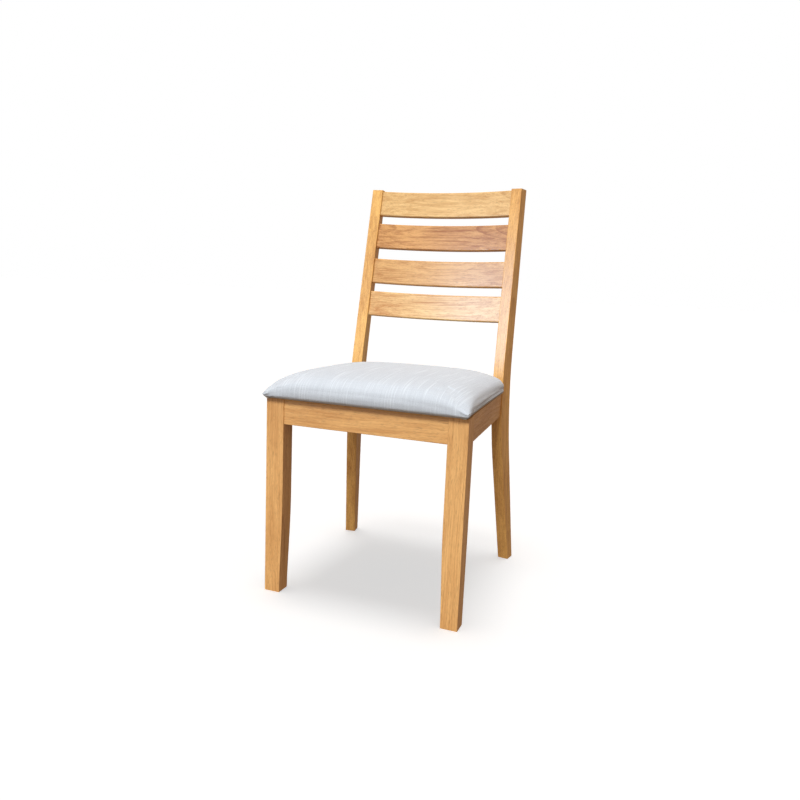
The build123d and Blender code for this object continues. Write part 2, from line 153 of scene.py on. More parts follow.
class Graph:
    """A material's node tree, with short calls for the nodes used here."""

    def __init__(self, name):
        self.material = bpy.data.materials.new(name)
        self.material.use_nodes = True
        self.tree = self.material.node_tree
        self.tree.nodes.clear()

    def node(self, kind, **settings):
        made = self.tree.nodes.new(kind)
        for key, value in settings.items():
            setattr(made, key, value)
        return made

    def link(self, source, target):
        self.tree.links.new(source, target)

    def fill(self, socket, value):
        """Links a socket when the value comes from another node, and sets it when it is a constant."""
        if isinstance(value, bpy.types.NodeSocket):
            self.link(value, socket)
        else:
            socket.default_value = value

    def math(self, operation, a, b=0.0, clamp=False):
        made = self.node("ShaderNodeMath", operation=operation, use_clamp=clamp)
        self.fill(made.inputs[0], a)
        self.fill(made.inputs[1], b)
        return made.outputs[0]

    def vector_math(self, operation, a, b):
        made = self.node("ShaderNodeVectorMath", operation=operation)
        self.fill(made.inputs[0], a)
        self.fill(made.inputs[1], b)
        return made.outputs[0]

    def noise(self, place, scale, detail=3.0, roughness=0.5):
        """Noise at a place, which is first stretched by a scale for each axis."""
        made = self.node("ShaderNodeTexNoise")
        self.fill(made.inputs["Vector"], self.vector_math("MULTIPLY", place, scale))
        made.inputs["Scale"].default_value = 1.0
        made.inputs["Detail"].default_value = detail
        made.inputs["Roughness"].default_value = roughness
        return made

    def remap(self, value, low, high, to_low=0.0, to_high=1.0):
        made = self.node("ShaderNodeMapRange")
        self.fill(made.inputs["Value"], value)
        made.inputs["From Min"].default_value = low
        made.inputs["From Max"].default_value = high
        made.inputs["To Min"].default_value = to_low
        made.inputs["To Max"].default_value = to_high
        return made.outputs[0]

    def mix(self, share, a, b, blend="MIX"):
        made = self.node("ShaderNodeMix", data_type="RGBA", blend_type=blend)
        self.fill(made.inputs["Factor"], share)
        self.fill(made.inputs[6], a)
        self.fill(made.inputs[7], b)
        return made.outputs[2]

    def bump(self, height, distance, strength=1.0):
        made = self.node("ShaderNodeBump")
        made.inputs["Distance"].default_value = distance
        made.inputs["Strength"].default_value = strength
        self.fill(made.inputs["Height"], height)
        return made.outputs["Normal"]

    def shader(self, **values):
        """The Principled shader and its output. Keys are socket names with _ for a space."""
        made = self.node("ShaderNodeBsdfPrincipled")
        for key, value in values.items():
            self.fill(made.inputs[key.replace("_", " ")], value)
        output = self.node("ShaderNodeOutputMaterial")
        self.link(made.outputs[0], output.inputs["Surface"])
        return self.material


def rgb(red, green, blue):
    return (red, green, blue, 1.0)


# ---------------------------------------------------------------- materials

def grain_space(graph, axis, middle, pith, seed):
    """Object coordinates turned so that fibres run along local Z, with the tree's heart on that axis.

    The pith gives the board's middle as seen from the heart, in local X and Y.
    The seed picks another stretch of the tree.
    """
    x, y, z = middle
    turn, across = {
        ALONG_X: ((0, radians(90), 0), (z, y)),
        ALONG_Y: ((radians(90), 0, 0), (x, -z)),
        ALONG_Z: ((0, 0, 0), (x, y)),
    }[axis]
    mapping = graph.node("ShaderNodeMapping")
    mapping.inputs["Rotation"].default_value = turn
    mapping.inputs["Location"].default_value = (pith[0] - across[0], pith[1] - across[1], 0.83 * seed)
    graph.link(graph.node("ShaderNodeTexCoord").outputs["Object"], mapping.inputs["Vector"])
    return mapping.outputs[0]


def wood(name, axis, middle, pith, seed, light, dark, figure=0.4, ring_width=0.005, contrast=0.28,
         coat=0.5, roughness=0.42):
    """Hardwood under a satin lacquer: growth rings cut by the board's faces, streaks, flecks and pores."""
    graph = Graph(name)
    place = grain_space(graph, axis, middle, pith, seed)

    sway = graph.noise(place, (7, 7, 2.0), detail=2.0).outputs["Color"]
    sway = graph.vector_math("SUBTRACT", sway, (0.5, 0.5, 0.5))
    ripple = graph.noise(place, (55, 55, 7), detail=2.0).outputs["Color"]
    ripple = graph.vector_math("SUBTRACT", ripple, (0.5, 0.5, 0.5))
    bent = graph.vector_math("ADD", place, graph.vector_math("MULTIPLY", sway, (0.030, 0.030, 0.0)))
    bent = graph.vector_math("ADD", bent, graph.vector_math("MULTIPLY", ripple, (0.0036, 0.0036, 0.0)))

    rings = graph.node("ShaderNodeTexWave", wave_type="RINGS", rings_direction="Z", wave_profile="SAW")
    graph.link(bent, rings.inputs["Vector"])
    rings.inputs["Scale"].default_value = 2 * pi / 20 / ring_width
    late_wood = graph.math("POWER", rings.outputs["Fac"], 3.0)
    faintness = graph.remap(graph.noise(place, (26, 26, 5), detail=2.0).outputs["Fac"], 0.34, 0.66)
    late_wood = graph.math("MULTIPLY", late_wood, faintness)

    broad = graph.noise(bent, (95, 95, 3.2), detail=3.0, roughness=0.6).outputs["Fac"]
    streaks = graph.noise(bent, (210, 210, 7), detail=4.0, roughness=0.7).outputs["Fac"]
    fine = graph.noise(bent, (1000, 1000, 34), detail=2.0).outputs["Fac"]
    cloud = graph.noise(place, (12, 12, 4.5), detail=2.0).outputs["Fac"]
    flecks = graph.noise(place, (420, 420, 75), detail=2.0, roughness=0.6).outputs["Fac"]
    flecks = graph.remap(flecks, 0.52, 0.70)
    pores = graph.remap(graph.noise(bent, (1250, 1250, 70), detail=1.0).outputs["Fac"], 0.58, 0.70)

    share = graph.math("MULTIPLY", late_wood, figure)
    share = graph.math("ADD", share, graph.remap(broad, 0.38, 0.64, 0.0, 0.26))
    share = graph.math("ADD", share, graph.remap(streaks, 0.44, 0.62, 0.0, contrast))
    share = graph.math("ADD", share, graph.remap(fine, 0.35, 0.65, 0.0, 0.14))
    share = graph.math("ADD", share, graph.remap(cloud, 0.35, 0.65, -0.16, 0.20))
    share = graph.math("SUBTRACT", share, graph.math("MULTIPLY", flecks, 0.16), clamp=True)
    colour = graph.mix(share, light, dark)
    pore_colour = tuple(0.45 * c for c in dark[:3]) + (1.0,)
    colour = graph.mix(graph.math("MULTIPLY", pores, 0.42), colour, pore_colour)

    relief = graph.math("ADD", graph.math("MULTIPLY", streaks, 0.8), graph.math("MULTIPLY", fine, 0.5))
    normal = graph.bump(graph.math("SUBTRACT", relief, pores), distance=0.00016, strength=0.7)
    return graph.shader(
        Base_Color=colour,
        Roughness=graph.remap(streaks, 0.3, 0.7, roughness - 0.06, roughness + 0.10),
        Normal=normal,
        Specular_IOR_Level=0.35,
        Coat_Weight=coat,
        Coat_Roughness=0.24,
        Coat_IOR=1.5,
    )


def plywood(name, light, dark, face_veneer):
    """Plywood: level plies of alternating grain, seen as stripes on the board's edges."""
    graph = Graph(name)
    place = graph.node("ShaderNodeTexCoord").outputs["Object"]
    height = graph.node("ShaderNodeSeparateXYZ")
    graph.link(place, height.inputs[0])
    ply = graph.math("PINGPONG", height.outputs["Z"], face_veneer)
    stripe = graph.remap(ply, 0.35 * face_veneer, 0.65 * face_veneer)
    along = graph.noise(place, (8, 260, 260), detail=3.0).outputs["Fac"]
    across = graph.noise(place, (260, 8, 260), detail=3.0).outputs["Fac"]
    figure = graph.mix(stripe, along, across)
    colour = graph.mix(graph.remap(figure, 0.35, 0.68, 0.1, 0.7), light, dark)
    colour = graph.mix(graph.math("MULTIPLY", stripe, 0.35), colour, dark)
    return graph.shader(Base_Color=colour, Roughness=graph.remap(along, 0.3, 0.7, 0.6, 0.75),
                        Normal=graph.bump(figure, 0.0002, 0.5))


def steel(name, colour, brush_scale, roughness):
    """Plated wire or screw steel with faint drawing marks."""
    graph = Graph(name)
    place = graph.node("ShaderNodeTexCoord").outputs["Object"]
    marks = graph.noise(place, brush_scale, detail=3.0).outputs["Fac"]
    spots = graph.noise(place, (700, 700, 700), detail=2.0).outputs["Fac"]
    tint = graph.mix(graph.remap(spots, 0.35, 0.7), colour, tuple(0.72 * c for c in colour[:3]) + (1.0,))
    return graph.shader(
        Base_Color=tint,
        Metallic=1.0,
        Roughness=graph.remap(marks, 0.3, 0.7, roughness - 0.07, roughness + 0.1),
        Normal=graph.bump(marks, 0.00004, 0.5),
    )


def woven(name, light, dark, pitch, slub):
    """Plain weave with uneven threads and painted shade in the gaps between them, laid out by the cloth's
    own lengths across and along the seat.
    """
    graph = Graph(name)
    across = graph.node("ShaderNodeAttribute", attribute_name="cloth_across").outputs["Fac"]
    along = graph.node("ShaderNodeAttribute", attribute_name="cloth_along").outputs["Fac"]
    place = graph.node("ShaderNodeCombineXYZ")
    graph.link(across, place.inputs[0])
    graph.link(along, place.inputs[1])
    place = place.outputs[0]

    warp = graph.math("ABSOLUTE", graph.math("SINE", graph.math("MULTIPLY", across, pi / pitch)))
    weft = graph.math("ABSOLUTE", graph.math("SINE", graph.math("MULTIPLY", along, pi / pitch)))
    column = graph.math("FLOOR", graph.math("DIVIDE", across, pitch))
    row = graph.math("FLOOR", graph.math("DIVIDE", along, pitch))
    over = graph.math("PINGPONG", graph.math("ADD", column, row), 1.0)
    warp_over = graph.math("MULTIPLY", warp, graph.math("ADD", 0.35, graph.math("MULTIPLY", over, 0.65)))
    under = graph.math("SUBTRACT", 1.0, over)
    weft_over = graph.math("MULTIPLY", weft, graph.math("ADD", 0.35, graph.math("MULTIPLY", under, 0.65)))
    threads = graph.math("MAXIMUM", warp_over, weft_over)

    warp_slub = graph.noise(place, (330, 13, 1), detail=3.0, roughness=0.65).outputs["Fac"]
    weft_slub = graph.noise(place, (16, 360, 1), detail=3.0, roughness=0.6).outputs["Fac"]
    fuzz = graph.noise(place, (520, 520, 1), detail=3.0, roughness=0.7).outputs["Fac"]
    thick = graph.remap(graph.noise(place, (330, 7, 1), detail=1.0).outputs["Fac"], 0.57, 0.65)
    warp_shade = graph.remap(warp_slub, 0.35, 0.66, 0.0, 0.3)
    weft_shade = graph.remap(weft_slub, 0.38, 0.66, 0.0, 0.22)
    uneven = graph.math("ADD", warp_shade, weft_shade)
    share = graph.math("MULTIPLY", uneven, slub)
    share = graph.math("SUBTRACT", share, graph.math("MULTIPLY", thick, 0.5))
    # Darker where the threads lie low, between them and where one passes under another: painted shade in
    # the weave's gaps
    share = graph.math("ADD", share, graph.remap(threads, 0.2, 0.95, 0.34, 0.0))
    share = graph.math("ADD", share, graph.remap(fuzz, 0.35, 0.68, 0.0, 0.4), clamp=True)

    height = graph.math("ADD", threads, graph.math("MULTIPLY", graph.math("ADD", warp_slub, thick), 0.7))
    return graph.shader(
        Base_Color=graph.mix(share, light, dark),
        Roughness=graph.remap(fuzz, 0.3, 0.7, 0.84, 0.96),
        Normal=graph.bump(height, distance=0.00028, strength=0.75),
        Sheen_Weight=0.25,
        Sheen_Roughness=0.5,
        Specular_IOR_Level=0.25,
    )


def open_cell_foam(name, light, dark):
    graph = Graph(name)
    place = graph.node("ShaderNodeTexCoord").outputs["Object"]
    cells = graph.node("ShaderNodeTexVoronoi", feature="F1")
    graph.link(place, cells.inputs["Vector"])
    cells.inputs["Scale"].default_value = 900
    distance = cells.outputs["Distance"]
    # Darker towards each cell's middle, where the bump makes a hollow: painted shade in the foam's open
    # cells
    colour = graph.mix(graph.remap(distance, 0.1, 0.7), dark, light)
    return graph.shader(Base_Color=colour, Roughness=graph.remap(distance, 0.0, 1.0, 0.85, 0.95),
                        Normal=graph.bump(distance, 0.0004, 0.8))


def non_woven(name, light, dark):
    """Spun-bonded black cloth with its grid of point bonds."""
    graph = Graph(name)
    place = graph.node("ShaderNodeTexCoord").outputs["Object"]
    fibres = graph.noise(place, (1100, 1100, 300), detail=5.0, roughness=0.7).outputs["Fac"]
    bonds = graph.node("ShaderNodeTexVoronoi", feature="F1")
    graph.link(place, bonds.inputs["Vector"])
    bonds.inputs["Scale"].default_value = 420
    bonds.inputs["Randomness"].default_value = 0.0
    dimple = graph.remap(bonds.outputs["Distance"], 0.15, 0.4)
    colour = graph.mix(graph.remap(fibres, 0.35, 0.7), dark, light)
    height = graph.math("ADD", graph.math("MULTIPLY", fibres, 0.5), dimple)
    return graph.shader(Base_Color=colour, Roughness=graph.remap(fibres, 0.3, 0.7, 0.75, 0.92),
                        Normal=graph.bump(height, 0.0002, 0.8))


def floor_material(albedo, glow):
    """Pale studio floor. A little light of its own keeps the shadow under the chair soft and pale."""
    graph = Graph("studio_floor")
    diffuse = graph.node("ShaderNodeBsdfDiffuse")
    diffuse.inputs["Color"].default_value = rgb(albedo, albedo, albedo)
    emission = graph.node("ShaderNodeEmission")
    emission.inputs["Color"].default_value = rgb(0.78, 0.915, 1.0)
    emission.inputs["Strength"].default_value = glow
    both = graph.node("ShaderNodeAddShader")
    graph.link(diffuse.outputs[0], both.inputs[0])
    graph.link(emission.outputs[0], both.inputs[1])
    output = graph.node("ShaderNodeOutputMaterial")
    graph.link(both.outputs[0], output.inputs["Surface"])
    return graph.material


def paint(node, material):
    """Gives a CAD node one material."""
    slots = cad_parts[node].data.materials
    slots.clear()
    slots.append(material)


# ---------------------------------------------------------------- wood, board and steel of the CAD nodes

HONEY = rgb(0.88, 0.540, 0.215)
HONEY_DARK = rgb(0.54, 0.245, 0.072)
AMBER = rgb(0.88, 0.530, 0.165)
AMBER_DARK = rgb(0.52, 0.235, 0.060)
PALE_AMBER = rgb(0.93, 0.58, 0.18)
STRAW = rgb(0.85, 0.60, 0.270)
STRAW_DARK = rgb(0.56, 0.31, 0.10)
RUSSET = rgb(0.73, 0.41, 0.145)
RUSSET_DARK = rgb(0.38, 0.150, 0.040)
BUFF = rgb(0.76, 0.47, 0.185)
BUFF_DARK = rgb(0.47, 0.215, 0.062)
BARE = rgb(0.66, 0.47, 0.28)
BARE_DARK = rgb(0.45, 0.28, 0.14)
BEECH = rgb(0.74, 0.56, 0.38)
BEECH_DARK = rgb(0.55, 0.37, 0.22)
PLY = rgb(0.62, 0.44, 0.25)
PLY_DARK = rgb(0.42, 0.27, 0.14)
VENEER_THICKNESS = 0.0015
BLOCK_SCREW_ZINC = rgb(0.78, 0.72, 0.55)
SEAT_SCREW_ZINC = rgb(0.76, 0.71, 0.56)
STAPLE_ZINC = rgb(0.72, 0.73, 0.75)
SCREW_MARKS = (200, 200, 2600)
WIRE_MARKS = (2600, 300, 300)
FABRIC = rgb(0.63, 0.715, 0.795)
FABRIC_DARK = rgb(0.44, 0.51, 0.59)
THREAD_PITCH = 0.0011
FOAM = rgb(0.86, 0.80, 0.60)
FOAM_DARK = rgb(0.60, 0.53, 0.36)
BLACK = rgb(0.035, 0.035, 0.038)
DEEP_BLACK = rgb(0.012, 0.012, 0.013)

# The boards' cuts: rings run straight across a face whose normal is square to the way to the heart,
# and in broad flames where the face looks at the heart
LEG = dict(axis=ALONG_Z, light=HONEY, dark=HONEY_DARK, figure=0.34)
POST = dict(axis=ALONG_Z, light=AMBER, dark=AMBER_DARK, figure=0.42)
RAIL = dict(axis=ALONG_X, light=HONEY, dark=HONEY_DARK, figure=0.34)
SIDE_RAIL = dict(axis=ALONG_Y, light=HONEY, dark=HONEY_DARK, figure=0.34)
BOARDS = {
    "front_leg_left": dict(LEG, seed=1, pith=(0.11, 0.03)),
    "front_leg_right": dict(LEG, seed=2, pith=(-0.10, 0.04)),
    "rear_leg_left": dict(POST, seed=3, pith=(0.13, 0.02), light=PALE_AMBER),
    "rear_leg_right": dict(POST, seed=4, pith=(-0.12, 0.02)),
    "front_apron": dict(RAIL, seed=5, pith=(0.09, 0.05)),
    "rear_apron": dict(RAIL, seed=6, pith=(0.05, 0.06)),
    "side_apron_left": dict(SIDE_RAIL, seed=7, pith=(0.05, 0.09)),
    "side_apron_right": dict(SIDE_RAIL, seed=8, pith=(0.04, 0.11)),
    "top_slat": dict(
        RAIL, seed=9, pith=(-0.045, 0.05), light=STRAW, dark=STRAW_DARK,
        ring_width=0.007, contrast=0.5,
    ),
    "upper_slat": dict(
        RAIL, seed=10, pith=(-0.038, 0.045), light=RUSSET, dark=RUSSET_DARK,
        figure=0.7, ring_width=0.007, contrast=0.5,
    ),
    "middle_slat": dict(
        RAIL, seed=11, pith=(0.07, 0.04), light=BUFF, dark=BUFF_DARK,
        figure=0.45, contrast=0.5,
    ),
    "lower_slat": dict(
        RAIL, seed=12, pith=(0.09, 0.03), light=STRAW, dark=HONEY_DARK,
        figure=0.5, contrast=0.45,
    ),
}
BLOCKS = (
    "corner_block_front_left",
    "corner_block_front_right",
    "corner_block_rear_left",
    "corner_block_rear_right",
)


def middle_of(node):
    low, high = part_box(node)
    return (low + high) / 2


def finish_frame():
    """Materials for the pieces that keep their CAD meshes."""
    for node, look in BOARDS.items():
        paint(node, wood(f"{node}_wood", middle=middle_of(node), **look))
    bare = dict(
        axis=ALONG_Y, pith=(0.06, 0.04), light=BARE, dark=BARE_DARK,
        figure=0.4, coat=0.0, roughness=0.62,
    )
    for number, node in enumerate(BLOCKS):
        paint(node, wood(f"{node}_wood", middle=middle_of(node), seed=20 + number, **bare))
    beech = dict(bare, light=BEECH, dark=BEECH_DARK, figure=0.3)
    paint("apron_dowels", wood("dowel_beech", middle=middle_of("apron_dowels"), seed=30, **beech))
    paint("seat_board", plywood("seat_plywood", PLY, PLY_DARK, VENEER_THICKNESS))
    paint("block_screws", steel("zinc_screw", BLOCK_SCREW_ZINC, SCREW_MARKS, 0.32))
    paint("seat_screws", steel("zinc_seat_screw", SEAT_SCREW_ZINC, SCREW_MARKS, 0.34))
    paint("cover_staples", steel("staple_wire", STAPLE_ZINC, WIRE_MARKS, 0.28))


# ---------------------------------------------------------------- seat pad

class Pad:
    """The pad's measurements, placed by its CAD nodes."""

    def __init__(self):
        low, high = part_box("seat_cover")
        board_low, board_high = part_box("seat_board")
        self.front, self.back = low.y - PAD_OVERHANG, high.y
        self.bottom = low.z + COVER_LIFT
        self.equator = low.z + EQUATOR_RISE
        self.notch_front = self.back - NOTCH_DEPTH
        self.board_bottom, self.board_top = board_low.z, board_high.z
        self.centre = Vector((0, (self.front + self.back) / 2))

    def depth_share(self, y):
        """From -1 at the pad's front edge to 1 at its back edge."""
        return 2 * (y - self.front) / (self.back - self.front) - 1

    def half_width(self, y):
        share = self.depth_share(y)
        straight = PAD_FRONT_HALF + (PAD_BACK_HALF - PAD_FRONT_HALF) * (share + 1) / 2
        return straight - PAD_WAIST * (1 - share ** 2)

    def crown(self, x, y):
        """Height of the pad's top above its widest line, from 0 at the outline to 1 at the crown."""
        across = min(1.0, abs(x) / self.half_width(y))
        along = self.depth_share(y)
        behind = along > CROWN_SHIFT
        along = min(1.0, abs(along - CROWN_SHIFT) / (1 - CROWN_SHIFT if behind else 1 + CROWN_SHIFT))
        from_notch = hypot(max(NOTCH_HALF_WIDTH - abs(x), 0), max(self.notch_front - y, 0))
        near = 1 - min(1.0, from_notch / NOTCH_FADE)
        rise = (1 - across ** CROWN_POWER_ACROSS) * (1 - along ** CROWN_POWER_ALONG) * (1 - near * near)
        taper = 1 if behind else 1 - (across * along) ** CORNER_TAPER_POWER
        return max(0.0, rise) ** CROWN_ROUNDNESS * taper


def rounded(corners, count):
    """Evenly spaced points round a closed outline of (point, corner radius)."""
    path = []
    for index, (corner, radius) in enumerate(corners):
        before, after = Vector(corners[index - 1][0]), Vector(corners[(index + 1) % len(corners)][0])
        corner = Vector(corner)
        back, ahead = (before - corner).normalized(), (after - corner).normalized()
        for step in range(CORNER_STEPS + 1):
            t = step / CORNER_STEPS
            start, end = corner + back * radius, corner + ahead * radius
            path.append(start * (1 - t) ** 2 + corner * 2 * t * (1 - t) + end * t * t)
    lengths = [0.0]
    for a, b in zip(path, path[1:] + path[:1]):
        lengths.append(lengths[-1] + (b - a).length)
    points, segment = [], 0
    for index in range(count):
        wanted = lengths[-1] * index / count
        while lengths[segment + 1] < wanted:
            segment += 1
        share = (wanted - lengths[segment]) / max(1e-9, lengths[segment + 1] - lengths[segment])
        points.append(path[segment].lerp(path[(segment + 1) % len(path)], share))
    return points


def pad_outline(pad):
    """The pad's widest line in plan, notched round the rear legs and drawn in at its waist."""
    side = pad.notch_front - pad.front
    waist = [pad.front + side * step / WAIST_STEPS for step in range(1, WAIST_STEPS)]
    right = [((PAD_FRONT_HALF, pad.front), PAD_CORNER_RADIUS)]
    right += [((pad.half_width(y), y), WAIST_RADIUS) for y in waist]
    right += [
        ((pad.half_width(pad.notch_front), pad.notch_front), PAD_REAR_CORNER_RADIUS),
        ((NOTCH_HALF_WIDTH, pad.notch_front), NOTCH_CORNER_RADIUS),
        ((NOTCH_HALF_WIDTH, pad.back), PAD_REAR_CORNER_RADIUS),
    ]
    left = [((-x, y), radius) for (x, y), radius in reversed(right)]
    return rounded(right + left, PAD_POINTS_AROUND)


def inward(outline, distance):
    """An outline moved towards its inside by a distance."""
    moved = []
    for index, point in enumerate(outline):
        along = (outline[(index + 1) % len(outline)] - outline[index - 1]).normalized()
        moved.append(point + Vector((-along.y, along.x)) * distance)
    return moved


def ring_mesh(name, rings, close_start=False, close_end=False):
    """A mesh skinned over rings of equally many points, capped with a fan where asked."""
    around = len(rings[0])
    points = [point for ring in rings for point in ring]
    faces = []
    for level in range(len(rings) - 1):
        for index in range(around):
            a, b = level * around + index, level * around + (index + 1) % around
            faces.append((a, b, b + around, a + around))
    for wanted, first, turn in ((close_start, 0, -1), (close_end, len(rings) - 1, 1)):
        if wanted:
            ring = rings[first]
            points.append(sum(ring, Vector((0, 0, 0))) / around)
            hub = len(points) - 1
            for index in range(around):
                a, b = first * around + index, first * around + (index + 1) % around
                faces.append((a, b, hub)[::turn])
    mesh = bpy.data.meshes.new(name)
    mesh.from_pydata([tuple(point) for point in points], [], faces)
    made = bpy.data.objects.new(name, mesh)
    bpy.context.scene.collection.objects.link(made)
    mesh.shade_smooth()
    return made


def cover_rings(pad, outline):
    """The cover's outside: from its flap's inner edge, under the board, round the side, to the crown."""
    centre = pad.centre
    foot = inward(outline, LOWER_EDGE[-1][0])
    rings = []
    for step in range(FLAP_RINGS):
        share = COVER_FLAP + (1 - COVER_FLAP) * step / FLAP_RINGS
        rings.append([Vector((*(centre + (p - centre) * share), pad.bottom)) for p in foot])
    for inset, drop in reversed(LOWER_EDGE):
        z = pad.equator - (pad.equator - pad.bottom) * drop
        rings.append([Vector((*p, z)) for p in inward(outline, inset)])
    for step in range(1, PAD_RINGS):
        share = 1 - (step / PAD_RINGS) ** RING_CROWDING
        plan = [centre + (p - centre) * share for p in outline]
        rings.append([Vector((p.x, p.y, pad.equator + CROWN_RISE * pad.crown(p.x, p.y))) for p in plan])
    return rings


def lay_cloth_lengths(piece, pad, ring_count):
    """Stores each point's length along the threads across and along the seat, for the weave."""
    mesh = piece.data
    around = PAD_POINTS_AROUND
    points = [v.co.copy() for v in mesh.vertices]
    hub = len(points) - 1
    across, along = [0.0] * len(points), [0.0] * len(points)
    across[hub], along[hub] = points[hub].x, points[hub].y
    for index in range(around):
        last = points[hub]
        a, b = across[hub], along[hub]
        for level in reversed(range(ring_count)):
            here = points[level * around + index]
            step = here - last
            outwards = Vector((here.x - pad.centre.x, here.y - pad.centre.y)).normalized()
            side = square_on(outwards)
            if level < FLAP_RINGS + len(LOWER_EDGE):
                a, b = a + side.x * step.length, b + side.y * step.length
            else:
                steep = side * abs(step.z)
                a, b = a + step.x + steep.x * STEEP_SHARE, b + step.y + steep.y * STEEP_SHARE
            across[level * around + index], along[level * around + index] = a, b
            last = here
    for name, values in (("cloth_across", across), ("cloth_along", along)):
        attribute = mesh.attributes.new(name, "FLOAT", "POINT")
        attribute.data.foreach_set("value", values)


def square_on(outwards):
    """The side of the seat that a direction points to, as a unit vector across or along it."""
    if abs(outwards.x) > abs(outwards.y):
        return Vector((1.0 if outwards.x > 0 else -1.0, 0.0))
    return Vector((0.0, 1.0 if outwards.y > 0 else -1.0))


def apply_modifiers(piece):
    """Turns the piece with its modifiers into a plain mesh."""
    graph = bpy.context.evaluated_depsgraph_get()
    result = bpy.data.meshes.new_from_object(piece.evaluated_get(graph), depsgraph=graph)
    piece.modifiers.clear()
    piece.data = result
    return piece


def inflate(piece, held_below):
    """Simulates the cover under the foam's push. Board and staples hold its points below a height."""
    start = [v.co.copy() for v in piece.data.vertices]
    held = piece.vertex_groups.new(name="held")
    held.add([i for i, co in enumerate(start) if co.z < held_below], 1.0, "REPLACE")
    cloth = piece.modifiers.new("cloth", "CLOTH")
    settings = cloth.settings
    settings.quality = 8
    settings.mass = 0.3
    settings.tension_stiffness = settings.compression_stiffness = 22
    settings.shear_stiffness = 12
    settings.bending_stiffness = 0.8
    settings.use_pressure = True
    settings.uniform_pressure_force = PRESSURE
    settings.vertex_group_mass = held.name
    settings.effector_weights.gravity = 0
    cloth.point_cache.frame_start = 1
    cloth.point_cache.frame_end = SIMULATED_FRAMES
    for number in range(1, SIMULATED_FRAMES + 1):
        bpy.context.scene.frame_set(number)
    apply_modifiers(piece)
    for vertex, before in zip(piece.data.vertices, start):
        moved = vertex.co - before
        if moved.length > MOST_SWELL:
            vertex.co = before + moved * (MOST_SWELL / moved.length)
    bpy.context.scene.frame_set(1)
    piece.vertex_groups.clear()


def pucker(piece, pad):
    """Small gathers where the cover is pulled round the two front corners."""
    mesh = piece.data
    normals = [v.normal.copy() for v in mesh.vertices]
    for side in (-1, 1):
        knot = Vector((
            side * (PAD_FRONT_HALF - PUCKER_INSET),
            pad.front + PUCKER_INSET,
            pad.equator - PUCKER_DROP,
        ))
        for vertex, normal in zip(mesh.vertices, normals):
            away = vertex.co - knot
            distance = away.length
            if distance > PUCKER_REACH or vertex.co.z < pad.equator - PUCKER_LOWEST:
                continue
            fan = Vector((away.x * side, away.y, PUCKER_STRETCH * away.z))
            angle = (fan.y - fan.x) / max(PUCKER_CORE, fan.length)
            fade = min(1.0, distance / PUCKER_CLEAR) * (1 - distance / PUCKER_REACH) ** PUCKER_FADE_POWER
            vertex.co = vertex.co + normal * (PUCKER_DEPTH * sin(PUCKER_FOLDS * angle + side) * fade)


def cover_and_foam():
    """The cover as a thin shell with its turned-under flap, and the foam block inside it."""
    pad = Pad()
    outline = pad_outline(pad)
    rings = cover_rings(pad, outline)
    cover = ring_mesh("seat_pad_cover", rings, close_end=True)
    lay_cloth_lengths(cover, pad, len(rings))
    inflate(cover, pad.equator - HELD_BELOW_EQUATOR)
    pucker(cover, pad)

    foam = foam_block(pad, outline, cover)
    shell = cover.modifiers.new("thickness", "SOLIDIFY")
    shell.thickness = COVER_THICKNESS
    shell.offset = -1
    apply_modifiers(cover)
    cover.data.materials.append(woven("seat_weave", FABRIC, FABRIC_DARK, THREAD_PITCH, 0.8))
    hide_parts("seat_cover")
    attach(cover, "root")
    foam.data.materials.append(open_cell_foam("seat_foam_cells", FOAM, FOAM_DARK))
    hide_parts("seat_foam")
    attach(foam, "root")


def foam_block(pad, outline, cover):
    """Foam just inside the cover, wrapped over the edge of the board and hollow where the board sits."""
    skin = COVER_THICKNESS + FOAM_GAP
    around = PAD_POINTS_AROUND
    levels = range(FLAP_RINGS, FLAP_RINGS + len(LOWER_EDGE) + PAD_RINGS - 1)
    points = [v.co - v.normal * skin for v in cover.data.vertices]
    rings = [points[level * around:(level + 1) * around] for level in levels]
    board_edge = inward(outline, BOARD_INSET - BOARD_CLEARANCE)
    low, high = pad.board_bottom, pad.board_top + BOARD_CLEARANCE
    for point in rings[0]:
        point.z = low
    cavity = [[Vector((*p, z)) for p in board_edge] for z in (high, low)]
    roof = [[pad_middle(pad, p, high, share) for p in board_edge] for share in FOAM_ROOF_SHARES]
    return ring_mesh("seat_pad_foam", roof + cavity + rings, close_start=True, close_end=True)


def pad_middle(pad, point, z, share):
    """A point that lies a share of the way out from the pad's middle, at a height."""
    return Vector((*(pad.centre + (point - pad.centre) * share), z))


# ---------------------------------------------------------------- dust cover

